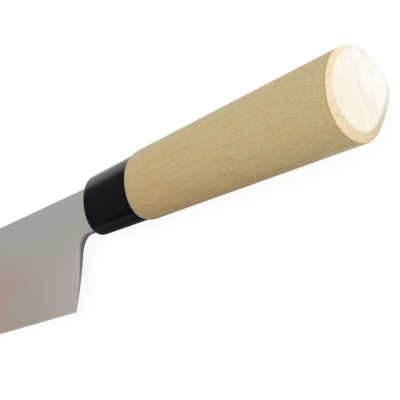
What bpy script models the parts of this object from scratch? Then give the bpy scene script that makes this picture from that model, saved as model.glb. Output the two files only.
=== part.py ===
"""Usuba: a single-bevel vegetable knife with a laminated blade and a D-shaped wooden handle.

Metres. X runs from the butt to the tip, Y from the spine to the cutting edge, and Z out of the blade's
back face (ura). The origin is on the flat end face of the handle, on the handle's axis.
"""

import math

import bmesh
import bpy
from mathutils import Vector

# Handle: overall length to the ferrule's front face, and the D section at the butt
HANDLE_LENGTH = 0.130
BUTT_HALF_HEIGHT = 0.0120
BUTT_BACK_DEPTH = 0.00945
BUTT_RIDGE_DEPTH = 0.0107
BUTT_CHAMFER_LENGTH = 0.00105
BUTT_CHAMFER_INSET = 0.0020
END_FACE_SHIFT_Y = -0.00045
END_FACE_SHIFT_Z = 0.0002

# D section: the ridge lies a little towards the spine, and both halves are fuller than an ellipse
RIDGE_OFFSET = 0.0014
SECTION_FULLNESS = 2.1
RIDGE_BLEND = 0.1

# Ferrule: moulded ring with a closed front
FERRULE_LENGTH = 0.0294
FERRULE_BACK_HALF_HEIGHT = 0.01025
FERRULE_BACK_DEPTH = 0.00705
FERRULE_BACK_RIDGE = 0.0088
FERRULE_FRONT_HALF_HEIGHT = 0.00975
FERRULE_FRONT_DEPTH = 0.0061
FERRULE_FRONT_RIDGE = 0.0085
FERRULE_WALL = 0.0018
FERRULE_FRONT_WALL = 0.0020
FERRULE_NOSE_RADIUS = 0.0010

# Wood at the ferrule: it stands proud of the ring, and rounds over towards it
WOOD_STEP = 0.00065
WOOD_ARRIS_LENGTH = 0.0018
WOOD_ARRIS_DROP = 0.00055

# Blade outline
SPINE_HEIGHT = 0.0071
EDGE_DROP = 0.0317
NECK_DROP = 0.0077
NECK_FALL = 0.0002
CHOIL_START = 0.01475
CHOIL_BEND_FORWARD = 0.0021
CHOIL_BEND_DROP = 0.0140
HEEL_FORWARD = 0.0202
CHOIL_RADIUS = 0.0062
CHOIL_BEND_RADIUS = 0.060
HEEL_RADIUS = 0.0003
EDGE_LENGTH = 0.165
TIP_SETBACK = 0.0030
TIP_SPINE_RADIUS = 0.0030
TIP_EDGE_RADIUS = 0.0008

# Blade section: tapered flat (hira), bevel line (shinogi), wide bevel (kireha)
URA_HEIGHT = 0.0011
SPINE_THICKNESS_NECK = 0.0027
SPINE_THICKNESS_TIP = 0.0020
SHINOGI_THICKNESS_NECK = 0.00215
SHINOGI_THICKNESS_TIP = 0.00145
BEVEL_WIDTH = 0.0185
EDGE_LAND = 0.00015

# Lamination and the hollow of the back face (urasuki) with its flat rim
HAGANE_THICKNESS = 0.0008
HAGANE_END_GAP = 0.00015
WELD_GAP = 0.00002
HOLLOW_DEPTH = 0.00025
HOLLOW_RIM = 0.0016
HOLLOW_END_POWER = 8

# Tang, mortise and bedding
TANG_LENGTH = 0.094
TANG_ROOT_LENGTH = 0.0075
TANG_THICKNESS = 0.0019
TANG_HEIGHT_FRONT = 0.0105
TANG_HEIGHT_BACK = 0.0055
TANG_END_RADIUS = 0.0015
MORTISE_CLEARANCE = 0.0009
MORTISE_SPARE_DEPTH = 0.0030
SLOT_CLEARANCE = 0.0004

# Clearances where pieces meet
SEAT_GAP = 0.0003
PRESS_GAP = 0.0002
GLUE_GAP = 0.0001

# How far a form runs past the face that trims it
BLANK_OVERRUN = 0.0003
HOLLOW_OVERRUN = 0.000025
CUTTER_OVERRUN = 0.002
OUTLINE_CUTTER_DEPTH = 0.010

# Fineness of the curves
BACK_STEPS = 32
FLANK_STEPS = 14
RIDGE_STEPS = 6
ROUND_STEPS = 4
ARC_STEP = math.radians(9)
BLADE_STATIONS = 9
HOLLOW_COLUMNS = 28
HOLLOW_ROWS = 12
SAME_POINT = 0.000001
SMOOTH_ANGLE = math.radians(30)

# Places along the handle and the blade that follow from the sizes above
FERRULE_BACK_X = HANDLE_LENGTH - FERRULE_LENGTH
WOOD_FRONT_X = FERRULE_BACK_X - SEAT_GAP
STUB_FRONT_X = HANDLE_LENGTH - FERRULE_FRONT_WALL - SEAT_GAP
SHOULDER_X = HANDLE_LENGTH + SEAT_GAP
HEEL_X = HANDLE_LENGTH + HEEL_FORWARD
TIP_X = HEEL_X + EDGE_LENGTH
TANG_END_X = SHOULDER_X - TANG_LENGTH
TANG_MIDDLE_Z = URA_HEIGHT - SPINE_THICKNESS_NECK / 2


def clear_scene():
    """Remove what the file opened with."""
    for item in list(bpy.data.objects):
        bpy.data.objects.remove(item, do_unlink=True)


def new_collection(name):
    """Return a collection linked to the scene."""
    collection = bpy.data.collections.new(name)
    bpy.context.scene.collection.children.link(collection)
    return collection


def new_material(name, colour, roughness, metallic=0.0):
    """Return a Principled material."""
    material = bpy.data.materials.new(name)
    material.use_nodes = True
    shader = material.node_tree.nodes["Principled BSDF"]
    shader.inputs["Base Color"].default_value = (*colour, 1.0)
    shader.inputs["Roughness"].default_value = roughness
    shader.inputs["Metallic"].default_value = metallic
    return material


def object_from_bmesh(name, bm, collection):
    """Write a bmesh to a new object with its faces pointing out."""
    bmesh.ops.recalc_face_normals(bm, faces=bm.faces)
    mesh = bpy.data.meshes.new(name)
    bm.to_mesh(mesh)
    bm.free()
    piece = bpy.data.objects.new(name, mesh)
    collection.objects.link(piece)
    return piece


def loft(name, rings, collection):
    """Skin closed rings of equal point counts, with a flat cap at each end."""
    bm = bmesh.new()
    loops = [[bm.verts.new(point) for point in ring] for ring in rings]
    count = len(loops[0])
    for near, far in zip(loops, loops[1:]):
        for i in range(count):
            j = (i + 1) % count
            bm.faces.new((near[i], near[j], far[j], far[i]))
    bm.faces.new(loops[0])
    bm.faces.new(loops[-1])
    return object_from_bmesh(name, bm, collection)


def box(name, low, high, collection):
    """A box between two corners."""
    low = Vector(low)
    high = Vector(high)
    bm = bmesh.new()
    bmesh.ops.create_cube(bm, size=1.0)
    bmesh.ops.scale(bm, vec=high - low, verts=bm.verts)
    bmesh.ops.translate(bm, vec=(low + high) / 2, verts=bm.verts)
    return object_from_bmesh(name, bm, collection)


def rounded(corners):
    """Points of a closed outline whose corners (x, y, radius) are rounded by arcs."""
    points = []
    for i, (x, y, radius) in enumerate(corners):
        corner = Vector((x, y))
        if radius <= 0:
            points.append(corner)
            continue
        before = (Vector(corners[i - 1][:2]) - corner).normalized()
        after = (Vector(corners[(i + 1) % len(corners)][:2]) - corner).normalized()
        half = before.angle(after) / 2
        centre = corner + (before + after).normalized() * radius / math.sin(half)
        start = corner + before * radius / math.tan(half) - centre
        turn = math.pi - 2 * half
        side = math.copysign(1.0, before.x * after.y - before.y * after.x)
        steps = max(2, math.ceil(turn / ARC_STEP))
        for k in range(steps + 1):
            angle = -side * turn * k / steps
            points.append(centre + Vector((
                start.x * math.cos(angle) - start.y * math.sin(angle),
                start.x * math.sin(angle) + start.y * math.cos(angle))))
    return points


def plate(name, corners, thickness, middle_z, collection):
    """A flat outline of rounded corners, extruded evenly about middle_z."""
    curve = bpy.data.curves.new(name, "CURVE")
    curve.dimensions = "2D"
    curve.fill_mode = "BOTH"
    curve.extrude = thickness / 2
    points = rounded(corners)
    spline = curve.splines.new("POLY")
    spline.points.add(len(points) - 1)
    for target, point in zip(spline.points, points):
        target.co = (point.x, point.y, 0.0, 1.0)
    spline.use_cyclic_u = True
    flat = bpy.data.objects.new(name + "_outline", curve)
    flat.location.z = middle_z
    collection.objects.link(flat)
    bpy.context.view_layer.update()
    evaluated = flat.evaluated_get(bpy.context.evaluated_depsgraph_get())
    mesh = bpy.data.meshes.new_from_object(evaluated)
    bm = bmesh.new()
    bm.from_mesh(mesh)
    bpy.data.meshes.remove(mesh)
    bmesh.ops.remove_doubles(bm, verts=bm.verts, dist=SAME_POINT)
    piece = object_from_bmesh(name, bm, collection)
    piece.matrix_world = flat.matrix_world
    bpy.data.objects.remove(flat, do_unlink=True)
    return piece


def boolean(piece, other, operation):
    """Cut, join or keep the common part of two solids."""
    modifier = piece.modifiers.new(other.name, "BOOLEAN")
    modifier.operation = operation
    modifier.solver = "EXACT"
    modifier.object = other
    other.hide_render = True
    other.display_type = "WIRE"


def smooth(piece):
    """Shade a round piece smooth, with its arrises kept sharp."""
    piece.data.shade_smooth()
    piece.data.set_sharp_from_angle(angle=SMOOTH_ANGLE)


def section(x, half_height, back_depth, ridge_depth, shift_y=0.0, shift_z=0.0):
    """One D section: a full half ellipse towards the ura, two bowed flanks meeting at the ridge."""
    def flank(side, share):
        y = side * half_height * (1 - share ** SECTION_FULLNESS) - RIDGE_OFFSET * share ** 2
        return Vector((y, -ridge_depth * share))

    outline = []
    for i in range(BACK_STEPS):
        angle = math.pi * i / BACK_STEPS
        across = math.copysign(abs(math.cos(angle)) ** (2 / SECTION_FULLNESS), math.cos(angle))
        outline.append(Vector((half_height * across, back_depth * math.sin(angle) ** (2 / SECTION_FULLNESS))))
    for i in range(FLANK_STEPS):
        outline.append(flank(-1, (1 - RIDGE_BLEND) * i / FLANK_STEPS))
    entry = flank(-1, 1 - RIDGE_BLEND)
    crest = flank(-1, 1)
    leave = flank(1, 1 - RIDGE_BLEND)
    for i in range(RIDGE_STEPS + 1):
        t = i / RIDGE_STEPS
        outline.append(entry * (1 - t) ** 2 + crest * 2 * t * (1 - t) + leave * t ** 2)
    for i in range(FLANK_STEPS - 1, 0, -1):
        outline.append(flank(1, (1 - RIDGE_BLEND) * i / FLANK_STEPS))
    return [(x, point.x + shift_y, point.y + shift_z) for point in outline]


def ferrule_section(x, inset):
    """The ferrule's D section at x, drawn in by inset all round."""
    share = (x - FERRULE_BACK_X) / FERRULE_LENGTH
    sizes = [back + (front - back) * share - inset for back, front in (
        (FERRULE_BACK_HALF_HEIGHT, FERRULE_FRONT_HALF_HEIGHT),
        (FERRULE_BACK_DEPTH, FERRULE_FRONT_DEPTH),
        (FERRULE_BACK_RIDGE, FERRULE_FRONT_RIDGE))]
    return section(x, *sizes)


def tang_corners(margin, front_x, spare_end=0.0):
    """Corners of the tapered tang, grown by margin all round and run forward to front_x."""
    end_x = TANG_END_X - margin - spare_end
    slope = (TANG_HEIGHT_FRONT - TANG_HEIGHT_BACK) / 2 / TANG_LENGTH
    front = TANG_HEIGHT_BACK / 2 + slope * (front_x - TANG_END_X) + margin
    back = TANG_HEIGHT_BACK / 2 - slope * (TANG_END_X - end_x) + margin
    radius = TANG_END_RADIUS + margin
    return [(front_x, -front, 0), (front_x, front, 0), (end_x, back, radius), (end_x, -back, radius)]


def blade_corners():
    """Side view of the neck, heel, edge, tip and spine."""
    neck_end_y = NECK_DROP + NECK_FALL
    bend_y = neck_end_y + CHOIL_BEND_DROP
    choil_x = HANDLE_LENGTH + CHOIL_START
    bend_x = choil_x + CHOIL_BEND_FORWARD
    return [
        (SHOULDER_X, -SPINE_HEIGHT, 0),
        (SHOULDER_X, NECK_DROP, 0),
        (choil_x, neck_end_y, CHOIL_RADIUS),
        (bend_x, bend_y, CHOIL_BEND_RADIUS),
        (HEEL_X, EDGE_DROP, HEEL_RADIUS),
        (TIP_X, EDGE_DROP, TIP_EDGE_RADIUS),
        (TIP_X - TIP_SETBACK, -SPINE_HEIGHT, TIP_SPINE_RADIUS)]


def blade_ring(share):
    """Cross-section of the ground blank, a share of the way from the shoulder to past the tip."""
    start_x = SHOULDER_X - BLANK_OVERRUN
    x = start_x + (TIP_X + BLANK_OVERRUN - start_x) * share
    spine = SPINE_THICKNESS_NECK + (SPINE_THICKNESS_TIP - SPINE_THICKNESS_NECK) * share
    shinogi = SHINOGI_THICKNESS_NECK + (SHINOGI_THICKNESS_TIP - SHINOGI_THICKNESS_NECK) * share
    shinogi_y = EDGE_DROP - BEVEL_WIDTH
    bevel_slope = (shinogi - EDGE_LAND) / BEVEL_WIDTH
    flat_slope = (spine - shinogi) / (shinogi_y + SPINE_HEIGHT)
    past_edge = EDGE_LAND / 2 / bevel_slope
    return [
        (x, -SPINE_HEIGHT - BLANK_OVERRUN, URA_HEIGHT),
        (x, EDGE_DROP + past_edge, URA_HEIGHT),
        (x, EDGE_DROP + past_edge, URA_HEIGHT - EDGE_LAND / 2),
        (x, shinogi_y, URA_HEIGHT - shinogi),
        (x, -SPINE_HEIGHT - BLANK_OVERRUN, URA_HEIGHT - spine - flat_slope * BLANK_OVERRUN)]


def ground_blank(name, collection):
    """The blank with its flat and its bevel, before the outline is cut."""
    rings = [blade_ring(i / (BLADE_STATIONS - 1)) for i in range(BLADE_STATIONS)]
    return loft(name, rings, collection)


def steel_zone(name, margin, collection):
    """The space of the hard steel layer, from the shoulder to past the tip."""
    back_x = SHOULDER_X - HAGANE_END_GAP - margin
    low = (back_x, -SPINE_HEIGHT - CUTTER_OVERRUN, URA_HEIGHT - HAGANE_THICKNESS - margin)
    high = (TIP_X + CUTTER_OVERRUN, EDGE_DROP + CUTTER_OVERRUN, URA_HEIGHT + CUTTER_OVERRUN)
    return box(name, low, high, collection)


def hollow_cutter(collection):
    """A pillow that sinks into the back face inside its flat rim: shallow arc across, faded ends."""
    top = -SPINE_HEIGHT + HOLLOW_RIM
    bottom = EDGE_DROP - HOLLOW_RIM
    neck_end_y = NECK_DROP + NECK_FALL
    choil_x = HANDLE_LENGTH + CHOIL_START
    choil_slope = (HEEL_X - choil_x) / (EDGE_DROP - neck_end_y)
    tip_slope = TIP_SETBACK / (EDGE_DROP + SPINE_HEIGHT)
    bm = bmesh.new()
    bmesh.ops.create_grid(bm, x_segments=HOLLOW_COLUMNS, y_segments=HOLLOW_ROWS, size=1.0)
    for vert in bm.verts:
        u = vert.co.x
        v = vert.co.y
        y = top + (bottom - top) * (v + 1) / 2
        heel_side = choil_x + choil_slope * (y - neck_end_y) + HOLLOW_RIM
        tip_side = TIP_X - tip_slope * (EDGE_DROP - y) - HOLLOW_RIM
        x = heel_side + (tip_side - heel_side) * (u + 1) / 2
        depth = (HOLLOW_DEPTH + HOLLOW_OVERRUN) * (1 - v ** 2) * (1 - u ** HOLLOW_END_POWER)
        vert.co = (x, y, URA_HEIGHT + HOLLOW_OVERRUN - depth)
    grown = bmesh.ops.extrude_face_region(bm, geom=bm.faces[:])
    lifted = [item for item in grown["geom"] if isinstance(item, bmesh.types.BMVert)]
    for vert in lifted:
        vert.co.z = URA_HEIGHT + CUTTER_OVERRUN
    return object_from_bmesh("urasuki_cutter", bm, collection)


def make_hagane(parts, cutters, outline):
    """Hard steel layer: back face and cutting edge, hollow ground inside a flat rim."""
    hagane = ground_blank("hagane", parts)
    boolean(hagane, outline, "INTERSECT")
    boolean(hagane, steel_zone("steel_layer", 0.0, cutters), "INTERSECT")
    boolean(hagane, hollow_cutter(cutters), "DIFFERENCE")
    return hagane


def make_jigane(parts, cutters, outline):
    """Soft iron body: flat, upper bevel, spine and neck, with the tang behind the shoulders."""
    jigane = ground_blank("jigane", parts)
    boolean(jigane, outline, "INTERSECT")
    corners = tang_corners(0.0, SHOULDER_X + TANG_ROOT_LENGTH)
    tang = plate("tang_form", corners, TANG_THICKNESS, TANG_MIDDLE_Z, cutters)
    boolean(jigane, tang, "UNION")
    boolean(jigane, steel_zone("steel_layer_room", WELD_GAP, cutters), "DIFFERENCE")
    return jigane


def make_ferrule(parts, cutters):
    """Moulded ring: D-shaped, rounded nose, closed front with a slot for the tang."""
    nose_x = HANDLE_LENGTH - FERRULE_NOSE_RADIUS
    rings = [ferrule_section(FERRULE_BACK_X, 0.0)]
    for i in range(ROUND_STEPS + 1):
        angle = math.pi / 2 * i / ROUND_STEPS
        x = nose_x + FERRULE_NOSE_RADIUS * math.sin(angle)
        rings.append(ferrule_section(x, FERRULE_NOSE_RADIUS * (1 - math.cos(angle))))
    ferrule = loft("ferrule", rings, parts)
    smooth(ferrule)
    socket_rings = [
        ferrule_section(FERRULE_BACK_X - FERRULE_WALL, FERRULE_WALL),
        ferrule_section(HANDLE_LENGTH - FERRULE_FRONT_WALL, FERRULE_WALL)]
    boolean(ferrule, loft("ferrule_socket", socket_rings, cutters), "DIFFERENCE")
    half_height = TANG_HEIGHT_FRONT / 2 + SLOT_CLEARANCE
    half_width = TANG_THICKNESS / 2 + SLOT_CLEARANCE
    back_x = HANDLE_LENGTH - FERRULE_FRONT_WALL - CUTTER_OVERRUN
    low = (back_x, -half_height, TANG_MIDDLE_Z - half_width)
    high = (HANDLE_LENGTH + CUTTER_OVERRUN, half_height, TANG_MIDDLE_Z + half_width)
    boolean(ferrule, box("ferrule_slot", low, high, cutters), "DIFFERENCE")
    return ferrule


def make_handle(parts, cutters):
    """Wooden grip: chamfered butt, straight taper, rounded front arris and the stub for the ferrule."""
    front = [
        FERRULE_BACK_HALF_HEIGHT + WOOD_STEP,
        FERRULE_BACK_DEPTH + WOOD_STEP,
        FERRULE_BACK_RIDGE + WOOD_STEP]
    rings = [
        section(0.0, BUTT_HALF_HEIGHT - BUTT_CHAMFER_INSET, BUTT_BACK_DEPTH - BUTT_CHAMFER_INSET,
                BUTT_RIDGE_DEPTH - BUTT_CHAMFER_INSET, END_FACE_SHIFT_Y, END_FACE_SHIFT_Z),
        section(BUTT_CHAMFER_LENGTH, BUTT_HALF_HEIGHT, BUTT_BACK_DEPTH, BUTT_RIDGE_DEPTH)]
    arris_x = WOOD_FRONT_X - WOOD_ARRIS_LENGTH
    for i in range(ROUND_STEPS + 1):
        angle = math.pi / 2 * i / ROUND_STEPS
        inset = WOOD_ARRIS_DROP * (1 - math.cos(angle))
        x = arris_x + WOOD_ARRIS_LENGTH * math.sin(angle)
        rings.append(section(x, *[size - inset for size in front]))
    stub_inset = FERRULE_WALL + PRESS_GAP
    rings.append(ferrule_section(WOOD_FRONT_X, stub_inset))
    rings.append(ferrule_section(STUB_FRONT_X, stub_inset))
    handle = loft("handle", rings, parts)
    smooth(handle)
    corners = tang_corners(MORTISE_CLEARANCE, HANDLE_LENGTH, MORTISE_SPARE_DEPTH)
    thickness = TANG_THICKNESS + 2 * MORTISE_CLEARANCE
    mortise = plate("mortise", corners, thickness, TANG_MIDDLE_Z, cutters)
    boolean(handle, mortise, "DIFFERENCE")
    return handle


def make_bedding(parts, cutters):
    """Cured resin sleeve between the tang and the walls of the mortise."""
    outer = MORTISE_CLEARANCE - GLUE_GAP
    corners = tang_corners(outer, STUB_FRONT_X, MORTISE_SPARE_DEPTH)
    bedding = plate("tang_bedding", corners, TANG_THICKNESS + 2 * outer, TANG_MIDDLE_Z, parts)
    room = tang_corners(GLUE_GAP, HANDLE_LENGTH)
    bore = plate("tang_room", room, TANG_THICKNESS + 2 * GLUE_GAP, TANG_MIDDLE_Z, cutters)
    boolean(bedding, bore, "DIFFERENCE")
    return bedding


def main():
    clear_scene()
    parts = new_collection("usuba_knife")
    cutters = new_collection("usuba_knife_cutters")
    outline = plate("blade_outline", blade_corners(), OUTLINE_CUTTER_DEPTH, 0.0, cutters)
    finishes = {
        make_hagane(parts, cutters, outline): new_material("hard_steel", (0.42, 0.40, 0.38), 0.32, 1.0),
        make_jigane(parts, cutters, outline): new_material("soft_iron", (0.36, 0.35, 0.34), 0.42, 1.0),
        make_ferrule(parts, cutters): new_material("black_moulding", (0.012, 0.011, 0.010), 0.22),
        make_handle(parts, cutters): new_material("magnolia_wood", (0.51, 0.40, 0.21), 0.60),
        make_bedding(parts, cutters): new_material("bedding_resin", (0.30, 0.22, 0.12), 0.50)}
    for piece, material in finishes.items():
        piece.data.materials.clear()
        piece.data.materials.append(material)


main()
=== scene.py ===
"""Usuba knife: the finished look of every piece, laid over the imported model.

Metres. X runs from butt to tip, Y from spine to cutting edge, and Z out of the flat back (ura).
"""

import math

import bmesh
import bpy
from mathutils import Matrix, Vector


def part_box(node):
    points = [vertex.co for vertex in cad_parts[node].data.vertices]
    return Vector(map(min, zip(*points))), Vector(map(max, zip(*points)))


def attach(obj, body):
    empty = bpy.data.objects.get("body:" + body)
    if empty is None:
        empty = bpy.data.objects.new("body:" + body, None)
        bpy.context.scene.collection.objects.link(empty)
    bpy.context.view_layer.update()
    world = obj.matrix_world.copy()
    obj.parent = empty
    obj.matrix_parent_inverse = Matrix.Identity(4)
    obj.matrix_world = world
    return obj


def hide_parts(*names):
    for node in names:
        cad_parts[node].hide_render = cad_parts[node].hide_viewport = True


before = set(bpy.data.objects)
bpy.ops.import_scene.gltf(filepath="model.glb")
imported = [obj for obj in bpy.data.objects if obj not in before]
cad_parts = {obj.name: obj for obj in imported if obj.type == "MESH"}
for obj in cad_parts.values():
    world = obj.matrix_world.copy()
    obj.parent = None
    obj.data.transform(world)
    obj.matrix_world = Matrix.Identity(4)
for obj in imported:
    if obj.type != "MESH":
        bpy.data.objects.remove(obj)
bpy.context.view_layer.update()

bl_info = {
    "name": "Usuba knife",
    "version": (1, 0, 0),
    "blender": (4, 5, 0),
    "location": "3D view > Sidebar > Usuba",
    "description": "Builds the laminated blade, ferrule and grip of a usuba",
    "category": "Add Mesh",
}

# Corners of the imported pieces, which the finished pieces keep to
GRIP_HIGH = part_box("handle")[1]
FERRULE_LOW, FERRULE_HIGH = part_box("ferrule")
BACK_X = FERRULE_LOW.x
FRONT_X = FERRULE_HIGH.x
(SHOULDER_X, SPINE_Y, LAYER_Z), (_, EDGE_Y, URA_Z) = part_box("hagane")
TANG_END_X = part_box("jigane")[0].x

# Fineness of the curved forms
BACK_STEPS = 96
FLANK_STEPS = 44
RIDGE_STEPS = 16
ROUND_STEPS = 8
EASE_STEPS = 6
ARRIS_STEPS = 4
ARC_STEP = math.radians(3)
GRIP_STATIONS = 9
COLUMNS = 90
ROWS = 30
PATH_STEP = 0.003
SMOOTH_ANGLE = math.radians(32)

# The D sections: how full they are, how far the ridge lies towards the spine, and how softly it is rounded
FULLNESS = 2.1
RIDGE_OFFSET = 0.0014
RIDGE_BLEND = 0.1

# The hand-cut flat of the butt: its shift in Y and Z, and how full its back is on the edge side
BUTT_SHIFT = (-0.00058, 0.00010)
BUTT_FULLNESS = 1.6

# How softly the hollow of the back runs out to its rim, and how square its ends are
HOLLOW_SOFTNESS = 1.6
HOLLOW_SQUARENESS = 8

# Clearances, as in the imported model
SEAT_GAP = 0.0003
PRESS_GAP = 0.0002
WELD_GAP = 0.00002

# What blanks and cutters have to spare, the finest rounding, and how close two places count as one
BLANK_OVERRUN = 0.0003
CUTTER_OVERRUN = 0.002
SMALLEST_EASE = 0.00002
SAME_PLACE = 0.00001

# How far a face leans before it counts as facing down, or as part of the choil, neck, spine or tip
DOWN_LEAN = -0.9
CHOIL_LEAN = -0.03
NECK_LEAN = 0.1
SPINE_LEAN = -0.1
TIP_LEAN = 0.3

# The least angle between two faces at the seam of the metals
SEAM_ANGLE = 0.03

# Y and Z of the ferrule's ridge where it rests on the floor, how far below it the floor lies, and its size
RESTING_PLACE = (-0.00102, -0.00808)
FLOOR_GAP = 0.0001
FLOOR_SIZE = 8.0

# Nearly all values of a noise pattern lie between these two
NOISE_LOW = 0.3
NOISE_HIGH = 0.7

# Hairlines 14 mm long and 0.15 mm wide, coarser than the real grit so that they show
LINES_ALONG = (70.0, 6500.0, 6500.0)
LINES_ACROSS = (6500.0, 70.0, 6500.0)


def linear(code):
    """Turn an sRGB hex colour to linear red, green, blue and full alpha."""
    parts = [int(code[i:i + 2], 16) / 255 for i in (1, 3, 5)]
    return tuple(c / 12.92 if c <= 0.04045 else ((c + 0.055) / 1.055) ** 2.4 for c in parts) + (1.0,)


def length(name, description, default):
    """A size in metres, shown with its unit."""
    return bpy.props.FloatProperty(
        name=name, description=description, default=default, min=0.0, unit="LENGTH", precision=5)


def colour(name, description, code):
    """A colour, given as sRGB hex and kept linear."""
    return bpy.props.FloatVectorProperty(
        name=name, description=description, default=linear(code), size=4, min=0.0, max=1.0, subtype="COLOR")


class UsubaGripSettings(bpy.types.PropertyGroup):
    """Sizes and colours of the wooden grip."""
    half_height: length("Half height", "Half the height at the butt", GRIP_HIGH.y)
    back_depth: length("Back depth", "Axis to back, at the butt", GRIP_HIGH.z)
    ridge_depth: length("Ridge depth", "Axis to the flanks' crossing, at the butt", 0.0107)
    chamfer_length: length("Chamfer length", "Chamfer of the butt, along the grip", 0.00105)
    chamfer_drop: length("Chamfer drop", "Chamfer towards spine and edge", 0.0021)
    chamfer_inset: length("Chamfer inset", "Chamfer towards back and ridge", 0.0018)
    arris_radius: length("Arris radius", "Rounding of the sanded arrises", 0.00014)
    step: length("Step", "How far the wood stands proud of the ferrule", 0.00060)
    front_length: length("Front length", "Length of the rounded front arris", 0.0042)
    front_drop: length("Front drop", "Drop of the rounded front arris", 0.00054)
    mortise_clearance: length("Mortise clearance", "Room round the tang", 0.0009)
    mortise_spare: length("Mortise spare depth", "Room behind the tang", 0.0030)
    wood: colour("Wood", "Sanded long grain", "#CBB57C")
    rosy_wood: colour("Rosy wood", "Pinker patches", "#CDB072")
    green_wood: colour("Green wood", "Greener patches", "#C8B785")
    # Painted shade of the edge side
    edge_side_shade: colour("Warm wood", "Browner side", "#C0A066")
    # Painted light towards the butt
    lit_butt_wood: colour("Butt wood", "Long grain towards the butt", "#CFC08A")
    # Paler grain, and the painted sheen of the spine side
    pale_grain_and_sheen: colour("Pale wood", "Paler side", "#CBB88F")
    late_wood: colour("Late wood", "Growth lines and vessel lines", "#AE9256")
    end_grain: colour("End grain", "Cut flat of the butt", "#F5EEDB")
    # Painted highlight on the upper side of the end grain
    end_highlight: colour("Pale end grain", "Paler side of the flat", "#FBF8F3")
    end_shade: colour("Shaded end grain", "Greener clouds of the flat", "#ECEADA")
    end_line: colour("End grain line", "Growth lines and sanding marks", "#E3DBC4")
    chamfer: colour("Chamfer", "Half end grain", "#E6D8B7")
    # Paler flecks, and painted light on the spine side of the chamfer
    chamfer_flecks_and_light: colour("Pale chamfer", "Half end grain of the paler side", "#FDF8F2")
    # Pores, and painted shade on the edge side of the chamfer
    chamfer_pores_and_shade: colour("Chamfer pores", "Pores and torn fibres", "#D3B67A")
    arris_line: colour("Arris line", "Darker line along the arris", "#C09A58")


class UsubaFerruleSettings(bpy.types.PropertyGroup):
    """Sizes and colours of the moulded ferrule."""
    back_half_height: length("Back half height", "Half the height, at the wood", FERRULE_HIGH.y)
    back_depth: length("Back depth", "Axis to back, at the wood", FERRULE_HIGH.z)
    back_ridge: length("Back ridge", "Axis to the flanks' crossing, at the wood", 0.0088)
    front_half_height: length("Front half height", "Half the height, at the blade", 0.00975)
    front_depth: length("Front depth", "Axis to back, at the blade", 0.0061)
    front_ridge: length("Front ridge", "Axis to the flanks' crossing, at the blade", 0.0085)
    wall: length("Wall", "Wall of the ring", 0.0018)
    front_wall: length("Front wall", "Wall of the closed front", 0.0020)
    nose_radius: length("Nose radius", "Rounding of the front edge", 0.0010)
    lip_radius: length("Lip radius", "Rounding of the back edge", 0.00018)
    slot_clearance: length("Slot clearance", "Room round the tang", 0.0004)
    moulding: colour("Moulding", "Black moulded plastic", "#090908")


class UsubaBladeSettings(bpy.types.PropertyGroup):
    """Sizes and colours of the laminated blade."""
    neck_drop: length("Neck drop", "Axis to the underside of the neck", 0.0077)
    neck_fall: length("Neck fall", "How far it falls towards the choil", 0.0002)
    choil_start: length("Choil start", "Ferrule to the choil, at the neck", 0.01475)
    bend_forward: length("Bend forward", "How far the choil leans at its bend", 0.0021)
    bend_drop: length("Bend drop", "Neck to the choil's bend", 0.0140)
    choil_radius: length("Choil radius", "Rounding between neck and choil", 0.0070)
    bend_radius: length("Bend radius", "Bow of the choil", 0.060)
    heel_forward: length("Heel forward", "Ferrule to the heel", 0.0202)
    heel_radius: length("Heel radius", "Rounding of the heel", 0.0003)
    edge_length: length("Edge length", "Heel to tip", 0.164998)
    tip_setback: length("Tip setback", "How far the tip leans back at the spine", 0.0030)
    tip_spine_radius: length("Tip spine radius", "Rounding of the tip at the spine", 0.0030)
    tip_edge_radius: length("Tip edge radius", "Rounding of the tip at the edge", 0.0008)
    spine_neck: length("Spine at the neck", "Its thickness there", 0.0027)
    spine_tip: length("Spine at the tip", "Its thickness there", 0.0020)
    shinogi_neck: length("Bevel line at the neck", "The blade's thickness there", 0.00215)
    shinogi_tip: length("Bevel line at the tip", "The blade's thickness there", 0.00145)
    bevel_width: length("Bevel width", "Height of the ground bevel", 0.0185)
    edge_land: length("Edge land", "Thickness left at the edge", 0.00015)
    hollow_depth: length("Hollow depth", "Depth of the hollow back", 0.00025)
    hollow_rim: length("Hollow rim", "Flat rim round the hollow", 0.0016)
    choil_ease: length("Choil ease", "Rounding of the back along neck and choil", 0.00090)
    front_ease: length("Front ease", "Rounding of the front along neck and choil", 0.00020)
    spine_ease: length("Spine ease", "Rounding along spine and tip", 0.00025)
    tang_thickness: length("Tang thickness", "Its thickness all along", 0.0019)
    tang_front: length("Tang front", "Height of the tang at the shoulder", 0.0105)
    tang_back: length("Tang back", "Height of the tang at its end", 0.0055)
    tang_radius: length("Tang radius", "Rounding of the tang's end", 0.0015)
    tang_root: length("Tang root", "How far the tang runs on into the neck", 0.0075)
    back_steel: colour("Back steel", "Satin ground back", "#E1DCD6")
    edge_steel: colour("Edge steel", "Warmer towards the edge", "#E3D7CA")
    # Painted highlight round the heel
    heel_highlight: colour("Heel highlight", "Painted highlight round the heel", "#F0E8E2")
    # Painted warm reflection
    warm_reflection: colour("Warm reflection", "Painted warm reflection in soft clouds", "#E9CCBC")
    honed_steel: colour("Honed steel", "Honed bright at the edge", "#C4C3C0")
    soft_iron: colour("Soft iron", "Satin ground iron", "#A9A5A0")
    hazed_iron: colour("Hazed iron", "Iron clouded by the stones", "#908E8B")
    # Forge scale, darkened further as painted shade on the walls
    dark_scale_and_shade: colour("Dark iron", "Forge scale", "#5F6368")
    # Painted light on the scale, towards back and edge and where faces turn flat
    painted_light_steel: colour("Painted light steel", "Painted light on the scale", "#C6BEBA")


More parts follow.
